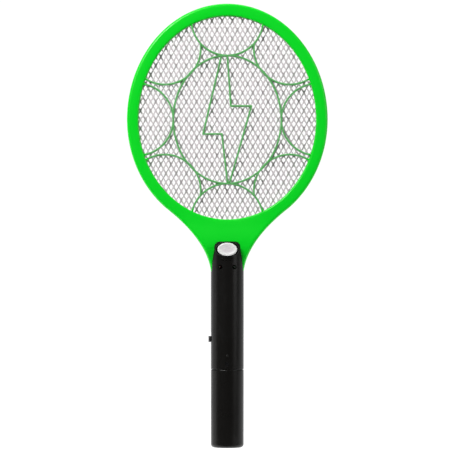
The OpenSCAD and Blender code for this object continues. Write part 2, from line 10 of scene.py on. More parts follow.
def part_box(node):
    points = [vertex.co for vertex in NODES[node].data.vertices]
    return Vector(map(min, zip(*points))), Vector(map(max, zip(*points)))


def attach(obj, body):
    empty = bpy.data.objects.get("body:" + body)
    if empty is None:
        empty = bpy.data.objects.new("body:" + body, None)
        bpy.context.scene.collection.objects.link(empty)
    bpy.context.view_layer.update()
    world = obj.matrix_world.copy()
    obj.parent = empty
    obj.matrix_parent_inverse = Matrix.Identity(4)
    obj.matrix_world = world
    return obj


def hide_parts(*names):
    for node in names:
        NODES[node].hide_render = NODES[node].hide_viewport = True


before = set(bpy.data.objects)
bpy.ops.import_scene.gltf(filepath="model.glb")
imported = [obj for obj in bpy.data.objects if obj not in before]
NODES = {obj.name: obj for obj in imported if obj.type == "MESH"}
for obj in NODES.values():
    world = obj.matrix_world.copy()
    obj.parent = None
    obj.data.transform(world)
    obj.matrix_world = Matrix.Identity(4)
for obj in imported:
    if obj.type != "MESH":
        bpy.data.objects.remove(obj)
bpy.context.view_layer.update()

MM = 0.001
SCENE = bpy.context.scene

# ------------------------------------------------------------------ sizes (millimetres, as in the CAD)
HEAD_Z = 340.0
OUT = (104.0, 120.0, 116.0)          # ring outside: half width, above, below
IN = (92.0, 107.0, 103.5)            # ring opening
RING_T = 7.8
NECK_T = 10.7
NECK_Z = 183.0
BLEND_H = 65.0
GRIP_R = 17.0
BORE_R = 14.6
SEAM = 81.0
TONGUE_Z = 213.7
FOOT_T = 5.0
BUTTON_Z = 205.6
RIB_Y0, RIB_Y1 = 4.55, 7.2

BLEND_X = OUT[0] * math.sqrt(1 - ((HEAD_Z - NECK_Z - BLEND_H) / OUT[2]) ** 2)
NECK_SLOPE = 0.143
NECK_K = (BLEND_X - GRIP_R - NECK_SLOPE * BLEND_H) / BLEND_H**2


def neck_w(h):
    return GRIP_R + NECK_SLOPE * h + NECK_K * h * h


def smooth(a, b, t):
    t = min(max((t - a) / (b - a), 0.0), 1.0)
    return t * t * (3 - 2 * t)


def half_thickness(z):
    """Half thickness of the head in side view: slim at the neck's foot, thick at the neck, slim at the ring."""
    foot = FOOT_T + (NECK_T - FOOT_T) * smooth(182, 211, z)
    return foot + (RING_T - NECK_T) * smooth(212, 240, z)


# ------------------------------------------------------------------ mesh helpers
def make(name, verts, faces):
    me = bpy.data.meshes.new(name)
    me.from_pydata([(x * MM, y * MM, z * MM) for x, y, z in verts], [], faces)
    me.update()
    ob = bpy.data.objects.new(name, me)
    SCENE.collection.objects.link(ob)
    tidy(ob)
    return ob


def tidy(ob, merge=1e-7):
    bm = bmesh.new()
    bm.from_mesh(ob.data)
    bmesh.ops.remove_doubles(bm, verts=bm.verts, dist=merge)
    bmesh.ops.recalc_face_normals(bm, faces=bm.faces)
    bm.to_mesh(ob.data)
    bm.free()
    ob.data.update()


def open_edges(ob):
    bm = bmesh.new()
    bm.from_mesh(ob.data)
    n = sum(1 for e in bm.edges if len(e.link_faces) != 2)
    bm.free()
    return n


def boolean(base, tools, op):
    """base with all the tools joined, cut or intersected, one after the other; the tools are used up."""
    for t in tools:
        before = len(base.data.polygons)
        m = base.modifiers.new("b", "BOOLEAN")
        m.operation = op
        m.object = t
        m.solver = "MANIFOLD" if not (open_edges(base) or open_edges(t)) else "EXACT"
        bpy.context.view_layer.update()
        ev = base.evaluated_get(bpy.context.evaluated_depsgraph_get())
        me = bpy.data.meshes.new_from_object(ev)
        base.modifiers.clear()
        if len(me.polygons) == 0:
            print("BOOLEAN EMPTY", base.name, t.name, op, before)
        else:
            old = base.data
            base.data = me
            bpy.data.meshes.remove(old)
        tidy(base, 2e-6)
        old = t.data
        bpy.data.objects.remove(t)
        bpy.data.meshes.remove(old)
    return base


def finish_mesh(ob, name, mat, angle=36.0, body="root", replaces=(), wear=None):
    """Cleans a built mesh, sets its shading and material, and lets it ride on its body."""
    bm = bmesh.new()
    bm.from_mesh(ob.data)
    bmesh.ops.remove_doubles(bm, verts=bm.verts, dist=4e-6)
    bmesh.ops.dissolve_degenerate(bm, dist=4e-6, edges=bm.edges)
    bmesh.ops.recalc_face_normals(bm, faces=bm.faces)
    bm.to_mesh(ob.data)
    bm.free()
    ob.name = name
    ob.data.name = name
    ob.data.shade_smooth()
    ob.data.set_sharp_from_angle(angle=math.radians(angle))
    ob.data.materials.clear()
    ob.data.materials.append(mat)
    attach(ob, body)
    if replaces:
        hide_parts(*replaces)
    print("PIECE", name, "faces", len(ob.data.polygons), "open", open_edges(ob))
    return ob


def strip(faces, a, b, closed):
    """Quads between two rows of vertex numbers."""
    n = len(a)
    for i in range(n if closed else n - 1):
        j = (i + 1) % n
        faces.append((a[i], a[j], b[j], b[i]))


def lathe(rows, n, name, y_scale=1.0, centre=(0, 0, 0), axis="z"):
    """A closed solid of revolution from (radius, height) rows; radius 0 makes a pole."""
    verts, faces, idx = [], [], []
    for r, h in rows:
        if r == 0:
            idx.append([len(verts)])
            verts.append((0, 0, h))
        else:
            idx.append(list(range(len(verts), len(verts) + n)))
            verts += [(r * math.cos(2 * math.pi * i / n), r * math.sin(2 * math.pi * i / n), h) for i in range(n)]
    for a, b in zip(idx, idx[1:]):
        if len(a) == 1 and len(b) == 1:
            continue
        if len(a) == 1:
            faces += [(a[0], b[(i + 1) % n], b[i]) for i in range(n)]
        elif len(b) == 1:
            faces += [(a[i], a[(i + 1) % n], b[0]) for i in range(n)]
        else:
            strip(faces, a, b, True)
    if len(idx[0]) > 1 and len(idx[-1]) > 1:
        strip(faces, idx[-1], idx[0], True)
    cx, cy, cz = centre
    if axis == "y":      # height runs along +Y
        verts = [(x + cx, h + cy, y + cz) for x, y, h in verts]
    elif axis == "x":
        verts = [(h + cx, x + cy, y + cz) for x, y, h in verts]
    else:
        verts = [(x + cx, y + cy, h + cz) for x, y, h in verts]
    return make(name, verts, faces)


def oval_solid(rows, n, name, cz=BUTTON_Z):
    """A closed solid from (half width, half height, y) rows about the button's axis; 0 makes a pole."""
    verts, faces, idx = [], [], []
    for a, b, y in rows:
        if a == 0:
            idx.append([len(verts)])
            verts.append((0, y, cz))
        else:
            idx.append(list(range(len(verts), len(verts) + n)))
            verts += [(a * math.cos(2 * math.pi * i / n), y, cz + b * math.sin(2 * math.pi * i / n)) for i in range(n)]
    for a, b in zip(idx, idx[1:]):
        if len(a) == 1:
            faces += [(a[0], b[(i + 1) % n], b[i]) for i in range(n)]
        elif len(b) == 1:
            faces += [(a[i], a[(i + 1) % n], b[0]) for i in range(n)]
        else:
            strip(faces, a, b, True)
    return make(name, verts, faces)


def prism_y(points, y0, y1, name):
    """An outline in X and Z, extruded from y0 to y1."""
    n = len(points)
    verts = [(x, y0, z) for x, z in points] + [(x, y1, z) for x, z in points]
    faces = [tuple(range(n)), tuple(range(2 * n - 1, n - 1, -1))]
    strip(faces, list(range(n)), list(range(n, 2 * n)), True)
    return make(name, verts, faces)


def box(lo, hi, name="box"):
    return prism_y([(lo[0], lo[2]), (hi[0], lo[2]), (hi[0], hi[2]), (lo[0], hi[2])], lo[1], hi[1], name)


def rod_y(x, z, r, y0, y1, n=32, name="rod"):
    return lathe([(0, y0), (r, y0), (r, y1), (0, y1)], n, name, centre=(x, 0, z), axis="y")


def rounded_block(lo, hi, r, segments=3, name="block"):
    ob = box(lo, hi, name)
    bm = bmesh.new()
    bm.from_mesh(ob.data)
    bmesh.ops.bevel(bm, geom=list(bm.edges), offset=r * MM, segments=segments, profile=0.5, affect="EDGES", clamp_overlap=True)
    bm.to_mesh(ob.data)
    bm.free()
    return ob


# ------------------------------------------------------------------ outlines
def oval(g, n, half):
    a, bt, bb = half[0] + g, half[1] + g, half[2] + g
    pts = []
    for i in range(n):
        t = 2 * math.pi * i / n
        pts.append((a * math.cos(t), HEAD_Z + (bt if math.sin(t) >= 0 else bb) * math.sin(t)))
    return pts


def head_outline():
    """Right foot of the neck, up, round the head and down to the left foot."""
    steps = 30
    right = [(neck_w(BLEND_H * i / steps), NECK_Z + BLEND_H * i / steps) for i in range(steps)]
    t0 = math.asin((HEAD_Z - NECK_Z - BLEND_H) / OUT[2])
    n = 190
    arc = []
    for i in range(n + 1):
        t = -t0 + (math.pi + 2 * t0) * i / n
        b = OUT[1] if math.sin(t) >= 0 else OUT[2]
        arc.append((OUT[0] * math.cos(t), HEAD_Z + b * math.sin(t)))
    left = [(-x, z) for x, z in reversed(right)]
    return right + arc + left


def inset(points, d):
    """An open outline moved inwards by d; its two ends stay at the height of the neck's foot."""
    out = []
    n = len(points)
    for i, (x, z) in enumerate(points):
        x0, z0 = points[max(i - 1, 0)]
        x1, z1 = points[min(i + 1, n - 1)]
        tx, tz = x1 - x0, z1 - z0
        l = math.hypot(tx, tz)
        nx, nz = tz / l, -tx / l         # outward for this direction of travel
        px, pz = x - d * nx, z - d * nz
        if i in (0, n - 1):
            pz = NECK_Z
        out.append((px, pz))
    return out


def fill(outer, inner, extra, y_of):
    """Triangles between an outer and an inner outline, with extra points inside. Returns verts and faces;
    the outer and then the inner outline come first, in their own order."""
    pts = [Vector(p) for p in outer] + [Vector(p) for p in inner] + [Vector(p) for p in extra]
    n, m = len(outer), len(inner)
    edges = [(i, (i + 1) % n) for i in range(n)] + [(n + i, n + (i + 1) % m) for i in range(m)]
    co, _, tris, orig, _, _ = geometry.delaunay_2d_cdt(pts, edges, [], 0, 1e-7)

    def inside(p, loop):
        hit = False
        for (x1, z1), (x2, z2) in zip(loop, loop[1:] + loop[:1]):
            if (z1 > p[1]) != (z2 > p[1]) and p[0] < (x2 - x1) * (p[1] - z1) / (z2 - z1) + x1:
                hit = not hit
        return hit

    keep = []
    for t in tris:
        c = [(co[t[0]][k] + co[t[1]][k] + co[t[2]][k]) / 3 for k in (0, 1)]
        if inside(c, outer) and not inside(c, inner):
            keep.append(t)
    return [(c[0], y_of(c[1]), c[1]) for c in co], keep


# ------------------------------------------------------------------ materials
def mat_nodes(name):
    m = bpy.data.materials.new(name)
    m.use_nodes = True
    nt = m.node_tree
    p = nt.nodes["Principled BSDF"]
    co = nt.nodes.new("ShaderNodeTexCoord")
    return m, nt, p, co.outputs["Object"]


def noise(nt, co, scale, detail=4.0, rough=0.55, distortion=0.0):
    n = nt.nodes.new("ShaderNodeTexNoise")
    n.inputs["Scale"].default_value = scale
    n.inputs["Detail"].default_value = detail
    n.inputs["Roughness"].default_value = rough
    n.inputs["Distortion"].default_value = distortion
    nt.links.new(co, n.inputs["Vector"])
    return n.outputs["Fac"]


def stretch(nt, co, scale, rot=(0, 0, 0)):
    m = nt.nodes.new("ShaderNodeMapping")
    m.inputs["Scale"].default_value = scale
    m.inputs["Rotation"].default_value = rot
    nt.links.new(co, m.inputs["Vector"])
    return m.outputs["Vector"]


def ramp(nt, fac, lo, hi, a, b):
    """Maps fac from lo..hi to a..b."""
    r = nt.nodes.new("ShaderNodeMapRange")
    r.inputs["From Min"].default_value = lo
    r.inputs["From Max"].default_value = hi
    r.inputs["To Min"].default_value = a
    r.inputs["To Max"].default_value = b
    nt.links.new(fac, r.inputs["Value"])
    return r.outputs["Result"]


def mix(nt, fac, a, b, blend="MIX"):
    m = nt.nodes.new("ShaderNodeMix")
    m.data_type = "RGBA"
    m.blend_type = blend
    for sock, v in ((m.inputs[0], fac), (m.inputs[6], a), (m.inputs[7], b)):
        if isinstance(v, (tuple, list)):
            sock.default_value = (*v[:3], 1.0)
        elif isinstance(v, (int, float)):
            sock.default_value = v
        else:
            nt.links.new(v, sock)
    return m.outputs[2]


def math_node(nt, op, a, b=0.0, clamp=False):
    m = nt.nodes.new("ShaderNodeMath")
    m.operation = op
    m.use_clamp = clamp
    for sock, v in zip(m.inputs, (a, b)):
        if isinstance(v, (int, float)):
            sock.default_value = v
        else:
            nt.links.new(v, sock)
    return m.outputs[0]


def bump(nt, height, strength, distance, normal=None):
    b = nt.nodes.new("ShaderNodeBump")
    b.inputs["Strength"].default_value = strength
    b.inputs["Distance"].default_value = distance
    nt.links.new(height, b.inputs["Height"])
    if normal is not None:
        nt.links.new(normal, b.inputs["Normal"])
    return b.outputs["Normal"]


def edge_wear(nt, lo=0.53, hi=0.60):
    g = nt.nodes.new("ShaderNodeNewGeometry")
    return ramp(nt, g.outputs["Pointiness"], lo, hi, 0.0, 1.0)


def scratches(nt, co, scale=60.0, width=0.02):
    """Sparse fine scratches: thin level lines of a stretched noise, in two directions."""
    out = None
    for rot, sc in (((0.2, 0.5, 0.3), (scale, scale * 0.6, scale * 0.12)), ((1.1, 0.2, 1.3), (scale * 0.16, scale * 0.8, scale))):
        n = noise(nt, stretch(nt, co, sc, rot), 1.0, 2.0, 0.5, 0.4)
        d = math_node(nt, "ABSOLUTE", math_node(nt, "SUBTRACT", n, 0.5))
        line = ramp(nt, d, 0.0, width, 1.0, 0.0)
        out = line if out is None else math_node(nt, "MAXIMUM", out, line)
    gate = ramp(nt, noise(nt, co, scale * 0.7, 2.0), 0.52, 0.66, 0.0, 1.0)
    return math_node(nt, "MULTIPLY", out, gate, clamp=True)


def plastic(name, base, lighter, rough, grain_scale, grain, specular=0.5, coat=0.0, wear=0.25, patch=0.06, sss=0.0, painted_rib_shade=None):
    m, nt, p, co = mat_nodes(name)
    blotch = ramp(nt, noise(nt, co, 14.0, 5.0, 0.6), 0.3, 0.7, 0.0, 1.0)
    c = mix(nt, math_node(nt, "MULTIPLY", blotch, patch), base, lighter)
    if painted_rib_shade:
        # painted shade: inside the ring's opening the ribs are painted a paler, darker green, as if they stood in the
        # ring's shade
        sep = nt.nodes.new("ShaderNodeSeparateXYZ")
        nt.links.new(co, sep.inputs[0])
        u = math_node(nt, "DIVIDE", sep.outputs["X"], IN[0] * MM)
        w = math_node(nt, "DIVIDE", math_node(nt, "SUBTRACT", sep.outputs["Z"], (HEAD_Z + 1.75) * MM), 105.25 * MM)
        rr = math_node(nt, "ADD", math_node(nt, "MULTIPLY", u, u), math_node(nt, "MULTIPLY", w, w))
        c = mix(nt, ramp(nt, rr, 0.975, 0.94, 0.0, 1.0), c, painted_rib_shade)
    scr = scratches(nt, co)
    edge = edge_wear(nt)
    c = mix(nt, math_node(nt, "MULTIPLY", edge, wear), c, lighter)
    c = mix(nt, math_node(nt, "MULTIPLY", scr, wear * 0.15), c, lighter)
    nt.links.new(c, p.inputs["Base Color"])
    r = ramp(nt, noise(nt, co, 38.0, 6.0, 0.65), 0.3, 0.7, rough - 0.025, rough + 0.035)
    r = math_node(nt, "ADD", r, math_node(nt, "MULTIPLY", scr, 0.07))
    r = math_node(nt, "ADD", r, math_node(nt, "MULTIPLY", edge, 0.06), clamp=True)
    nt.links.new(r, p.inputs["Roughness"])
    p.inputs["Specular IOR Level"].default_value = specular
    p.inputs["Coat Weight"].default_value = coat
    p.inputs["Coat Roughness"].default_value = 0.18
    if sss:
        p.inputs["Subsurface Weight"].default_value = sss
        p.inputs["Subsurface Radius"].default_value = (0.001, 0.002, 0.001)
        p.inputs["Subsurface Scale"].default_value = 1.0
    n1 = bump(nt, noise(nt, co, grain_scale, 3.0, 0.6), grain, 0.0001)
    n2 = bump(nt, noise(nt, co, 55.0, 2.0), 0.05, 0.0004, n1)     # slight sink and flow of a moulding
    n3 = bump(nt, scr, -0.05, 0.00005, n2)
    nt.links.new(n3, p.inputs["Normal"])
    return m


def metal(name, base, darker, rough, metallic=1.0, brushed=None, scale=260.0, spec=0.5):
    m, nt, p, co = mat_nodes(name)
    f = ramp(nt, noise(nt, co, scale, 5.0, 0.6), 0.3, 0.7, 0.0, 1.0)
    big = ramp(nt, noise(nt, co, 18.0, 3.0, 0.5), 0.35, 0.65, 0.0, 1.0)
    c = mix(nt, math_node(nt, "MULTIPLY", f, 0.45), base, darker)
    c = mix(nt, math_node(nt, "MULTIPLY", big, 0.25), c, darker)
    nt.links.new(c, p.inputs["Base Color"])
    p.inputs["Metallic"].default_value = metallic
    p.inputs["Specular IOR Level"].default_value = spec
    v = stretch(nt, co, brushed) if brushed else co
    grain = noise(nt, v, scale * 3.0, 4.0, 0.6)
    nt.links.new(ramp(nt, grain, 0.25, 0.75, rough - 0.08, rough + 0.12), p.inputs["Roughness"])
    nt.links.new(bump(nt, grain, 0.2, 0.00005), p.inputs["Normal"])
    return m


# painted_rib_shade: the paler, darker green painted on the ribs inside the opening as their shade
GREEN = plastic("green_moulding", (0.0, 0.70, 0.016), (0.02, 0.77, 0.04), 0.30, 900.0, 0.08, specular=0.32, wear=0.12, patch=0.10, painted_rib_shade=(0.13, 0.44, 0.14))
BLACK = plastic("black_moulding", (0.0054, 0.0050, 0.0045), (0.016, 0.0155, 0.0145), 0.29, 2600.0, 0.22, specular=0.20, wear=0.35, patch=0.12)
KNOB = plastic("black_knob", (0.004, 0.004, 0.004), (0.02, 0.02, 0.02), 0.40, 2600.0, 0.3, specular=0.35, wear=0.5, patch=0.2)
SPACER = plastic("natural_spacer", (0.72, 0.76, 0.70), (0.85, 0.88, 0.84), 0.5, 1200.0, 0.1, wear=0.2)
CRADLE = plastic("cradle_moulding", (0.012, 0.012, 0.013), (0.05, 0.05, 0.052), 0.5, 2200.0, 0.35, specular=0.35, wear=0.45, patch=0.4)
NET = metal("expanded_aluminium", (0.70, 0.655, 0.67), (0.56, 0.52, 0.535), 0.42, metallic=0.25, scale=420.0)
STEEL = metal("zinc_screw", (0.55, 0.55, 0.56), (0.30, 0.30, 0.30), 0.32, scale=900.0)
NICKEL = metal("nickel_plate", (0.72, 0.70, 0.66), (0.50, 0.48, 0.45), 0.22, scale=600.0)
BRASS = metal("tinned_brass", (0.78, 0.58, 0.28), (0.50, 0.33, 0.14), 0.32, scale=600.0)


def white_button():
    m, nt, p, co = mat_nodes("white_button")
    sep = nt.nodes.new("ShaderNodeSeparateXYZ")
    nt.links.new(co, sep.inputs[0])
    # how far out on the oval, 0 at its centre and 1 at its rim
    u = math_node(nt, "DIVIDE", sep.outputs["X"], 0.0101)
    w = math_node(nt, "DIVIDE", math_node(nt, "SUBTRACT", sep.outputs["Z"], BUTTON_Z * MM), 0.00675)
    r2 = math_node(nt, "SQRT", math_node(nt, "ADD", math_node(nt, "POWER", u, 2.0), math_node(nt, "POWER", w, 2.0)))
    # a mottling noise, used for the colour of the dish and for the roughness
    mottle = noise(nt, co, 420.0, 6.0, 0.7)
    # the colour turns a mottled, darker pinkish grey towards the centre of the dish
    dish = math_node(nt, "MULTIPLY", ramp(nt, r2, 0.72, 0.45, 0.0, 1.0), ramp(nt, mottle, 0.35, 0.68, 0.25, 1.0), clamp=True)
    c = mix(nt, math_node(nt, "MULTIPLY", dish, 0.75), (0.86, 0.86, 0.85), (0.64, 0.56, 0.605))
    c = mix(nt, ramp(nt, noise(nt, co, 90.0, 4.0), 0.4, 0.75, 0.0, 0.15), c, (0.72, 0.70, 0.66))
    nt.links.new(c, p.inputs["Base Color"])
    nt.links.new(ramp(nt, mottle, 0.3, 0.7, 0.28, 0.46), p.inputs["Roughness"])
    p.inputs["Specular IOR Level"].default_value = 0.45
    p.inputs["Subsurface Weight"].default_value = 0.1
    p.inputs["Subsurface Radius"].default_value = (0.001, 0.001, 0.001)
    p.inputs["Subsurface Scale"].default_value = 1.0
    nt.links.new(bump(nt, noise(nt, co, 1500.0, 3.0), 0.10, 0.0001), p.inputs["Normal"])
    return m


def tinted(name, base, dark):
    m, nt, p, co = mat_nodes(name)
    f = noise(nt, co, 500.0, 3.0)
    nt.links.new(mix(nt, ramp(nt, f, 0.3, 0.7, 0.0, 1.0), base, dark), p.inputs["Base Color"])
    nt.links.new(ramp(nt, f, 0.3, 0.7, 0.22, 0.32), p.inputs["Roughness"])
    p.inputs["Specular IOR Level"].default_value = 0.25
    nt.links.new(bump(nt, noise(nt, co, 900.0, 2.0), 0.03, 0.0001), p.inputs["Normal"])
    return m


def simple(name, base, other, rough, scale=300.0, strength=0.12, metallic=0.0, detail=5.0, brush=None):
    m, nt, p, co = mat_nodes(name)
    f = noise(nt, stretch(nt, co, brush) if brush else co, scale, detail, 0.6)
    nt.links.new(mix(nt, ramp(nt, f, 0.3, 0.7, 0.0, 1.0), base, other), p.inputs["Base Color"])
    nt.links.new(ramp(nt, f, 0.25, 0.75, rough - 0.08, rough + 0.1), p.inputs["Roughness"])
    p.inputs["Metallic"].default_value = metallic
    nt.links.new(bump(nt, f, strength, 0.0001), p.inputs["Normal"])
    return m


def cell_jacket(name, z0, z1, up):
    """A plain AA jacket: dark sleeve with a coppery band at the plus end, bare metal at both ends."""
    m, nt, p, co = mat_nodes(name)
    sep = nt.nodes.new("ShaderNodeSeparateXYZ")
    nt.links.new(co, sep.inputs[0])
    t = ramp(nt, sep.outputs["Z"], z0 if up else z1, z1 if up else z0, 0.0, 1.0)   # 0 at the minus end
    band = math_node(nt, "GREATER_THAN", t, 0.74)
    bare = math_node(nt, "MAXIMUM", math_node(nt, "LESS_THAN", t, 0.018), math_node(nt, "GREATER_THAN", t, 0.978))
    f = noise(nt, co, 220.0, 5.0, 0.6)
    dark = mix(nt, ramp(nt, f, 0.3, 0.7, 0.0, 1.0), (0.020, 0.022, 0.026), (0.032, 0.034, 0.038))
    warm = mix(nt, ramp(nt, f, 0.3, 0.7, 0.0, 1.0), (0.50, 0.26, 0.09), (0.42, 0.21, 0.07))
    c = mix(nt, band, dark, warm)
    c = mix(nt, bare, c, (0.62, 0.61, 0.60))
    nt.links.new(c, p.inputs["Base Color"])
    nt.links.new(math_node(nt, "MAXIMUM", bare, math_node(nt, "MULTIPLY", band, 0.6)), p.inputs["Metallic"])
    nt.links.new(ramp(nt, f, 0.3, 0.7, 0.22, 0.36), p.inputs["Roughness"])
    nt.links.new(bump(nt, noise(nt, co, 900.0, 3.0), 0.06, 0.0001), p.inputs["Normal"])
    return m


WHITE = white_button()
LED_R = tinted("led_lens_red", (0.012, 0.0015, 0.0015), (0.006, 0.001, 0.001))
LED_G = tinted("led_lens_green", (0.0015, 0.008, 0.0025), (0.001, 0.005, 0.0018))

# ------------------------------------------------------------------ green frames
SCREW_ANGLES = (22.5, 67.5, 112.5, 157.5, 202.5, 245.0, 295.0, 337.5)
SCREWS = [((OUT[0] - 2.8) * math.cos(math.radians(t)),
           HEAD_Z + (OUT[1] if math.sin(math.radians(t)) >= 0 else OUT[2] - 0.4) * math.sin(math.radians(t)) - 2.8 * math.sin(math.radians(t)))
          for t in SCREW_ANGLES] + [(20.5, 217.0), (-20.5, 217.0)]


def frame_body(name):
    """Solid half of the head and neck, front one: parting face at y = 0, rounded edges towards -Y."""
    outline = head_outline()
    R, RI = 3.0, 1.9
    rows = []
    rows.append((0.35, lambda z: 0.0))
    rows.append((0.0, lambda z: -0.35))
    rows.append((0.0, lambda z: -(half_thickness(z) - R)))
    steps = 7
    for k in range(1, steps + 1):
        th = math.pi / 2 * k / steps
        d = R * (1 - math.cos(th))
        rows.append((d, lambda z, s=math.sin(th): -(half_thickness(z) - R) - R * s))
    verts, faces, loops = [], [], []
    for d, yf in rows:
        pts = inset(outline, d) if d else outline
        loops.append(list(range(len(verts), len(verts) + len(pts))))
        verts += [(x, yf(z), z) for x, z in pts]
    for a, b in zip(loops, loops[1:]):
        strip(faces, a, b, False)
    outer_front = inset(outline, R)
    outer_part = inset(outline, 0.35)
    # opening: from the front face round its edge, in to the net, out to the pocket and back to y = 0
    n = 220
    irows = []
    for k in range(0, 6):
        th = math.pi / 2 * (1 - k / 5)
        irows.append((RI * (1 - math.cos(th)), lambda z, s=math.sin(th): -(half_thickness(z) - RI) - RI * s))
    irows.append((0.0, lambda z: -4.5))
    irows.append((7.2, lambda z: -4.5))
    irows.append((7.2, lambda z: 0.0))
    iloops = []
    for g, yf in irows:
        pts = oval(g, n, IN)
        iloops.append(list(range(len(verts), len(verts) + n)))
        verts += [(x, yf(z), z) for x, z in pts]
    for a, b in zip(iloops, iloops[1:]):
        strip(faces, a, b, True)
    # front face, with a few extra points where the neck gets thinner
    extra = []
    for j in range(1, 26):
        z = NECK_Z + 2.0 * j
        w = neck_w(z - NECK_Z) - R - 1.2
        k = int(w // 3)
        for i in range(-k, k + 1):
            extra.append((i * 3.0, z))
    inner_front = oval(RI, n, IN)
    fv, ff = fill(outer_front, inner_front, [e for e in extra if (e[0] / 94) ** 2 + ((e[1] - HEAD_Z) / 108.0) ** 2 > 1],
                  lambda z: -half_thickness(z))
    base = len(verts)
    verts += fv
    faces += [tuple(base + i for i in t) for t in ff]
    # parting face at y = 0
    fv, ff = fill(outer_part, oval(7.2, n, IN), [], lambda z: 0.0)
    base = len(verts)
    verts += fv
    faces += [tuple(base + i for i in t) for t in ff]
    # foot of the neck
    foot = [l[0] for l in loops] + [l[-1] for l in reversed(loops)]
    faces.append(tuple(foot))
    ob = make(name, verts, faces)
    bm = bmesh.new()
    bm.from_mesh(ob.data)
    bmesh.ops.remove_doubles(bm, verts=bm.verts, dist=2e-6)
    bmesh.ops.recalc_face_normals(bm, faces=bm.faces)
    bm.to_mesh(ob.data)
    bm.free()
    print("frame body open edges", open_edges(ob))
    return ob


RIB_PROFILE = [(-1.0, -RIB_Y0), (-1.0, -4.8), (-0.94, -5.5), (-0.86, -6.4), (-0.70, -6.95), (-0.38, -RIB_Y1),
               (0.38, -RIB_Y1), (0.70, -6.95), (0.86, -6.4), (0.94, -5.5), (1.0, -4.8), (1.0, -RIB_Y0)]


def rib(path, closed, name="rib"):
    """A rounded rib swept along points in X and Z."""
    n, k = len(path), len(RIB_PROFILE)
    verts, faces = [], []
    for i, (x, z) in enumerate(path):
        x0, z0 = path[i - 1] if (closed or i > 0) else path[i]
        x1, z1 = path[(i + 1) % n] if (closed or i < n - 1) else path[i]
        tx, tz = x1 - x0, z1 - z0
        l = math.hypot(tx, tz)
        nx, nz = tz / l, -tx / l
        verts += [(x + u * nx, y, z + u * nz) for u, y in RIB_PROFILE]
    for i in range(n if closed else n - 1):
        a = [i * k + j for j in range(k)]
        b = [((i + 1) % n) * k + j for j in range(k)]
        strip(faces, a, b, True)
    if not closed:
        faces.append(tuple(range(k - 1, -1, -1)))
        faces.append(tuple((n - 1) * k + j for j in range(k)))
    return make(name, verts, faces)


def rib_post(x, z):
    rows = [(0, -RIB_Y0)] + [(u, y) for u, y in reversed(RIB_PROFILE) if u > 0] + [(0, -RIB_Y1)]
    return lathe(rows, 20, "post", centre=(x, 0, z), axis="y")


def ring_reach(x, z, g=3.0):
    b = IN[1] if z > 0 else IN[2]
    return (x / (IN[0] + g)) ** 2 + (z / (b + g)) ** 2 < 1


def guard():
    """All the ribs of one frame, front one."""
    parts = []
    a, b = 56.0, 66.4
    parts.append(rib([(a * math.cos(2 * math.pi * i / 128), HEAD_Z + b * math.sin(2 * math.pi * i / 128)) for i in range(128)], True))
    R = 37.3
    top, side, dx, dz = b + R, a + R, 64.8, 73.6
    centres = {"t": [(0, top), (0, -top)], "d": [(sx * dx, sz * dz) for sx in (-1, 1) for sz in (-1, 1)], "s": [(side, 0), (-side, 0)]}

    def arc(cx, cz, stop):
        """The stretch of one circle that faces the middle, inside the ring and outside the circles in stop."""
        m = 720
        mid = math.atan2(-cz, -cx)
        ok = lambda t: (ring_reach(cx + R * math.cos(t), cz + R * math.sin(t))
                        and all(math.hypot(cx + R * math.cos(t) - sx, cz + R * math.sin(t) - sz) > R - 0.2 for sx, sz in stop))
        lo = hi = mid
        d = 2 * math.pi / m
        while ok(lo - d):
            lo -= d
        while ok(hi + d):
            hi += d
        k = max(int((hi - lo) / math.radians(3.2)), 8)
        return rib([(cx + R * math.cos(lo + (hi - lo) * i / k), HEAD_Z + cz + R * math.sin(lo + (hi - lo) * i / k)) for i in range(k + 1)], False)

    for c in centres["t"]:
        parts.append(arc(*c, []))
    for c in centres["d"]:
        parts.append(arc(*c, [(0, math.copysign(top, c[1]))]))
    for c in centres["s"]:
        parts.append(arc(*c, [q for q in centres["d"] if q[0] * c[0] > 0]))
    bolt = [(-6.1, 66), (0.1, 66), (3.7, 14), (25, 14), (2.7, -64.7), (0.1, -64.7), (-5.6, -15), (-25.1, -15)]
    for (x0, z0), (x1, z1) in zip(bolt, bolt[1:] + bolt[:1]):
        parts.append(rib([(x0, HEAD_Z + z0), ((x0 + x1) / 2, HEAD_Z + (z0 + z1) / 2), (x1, HEAD_Z + z1)], False))
        parts.append(rib_post(x0, HEAD_Z + z0))
    return parts


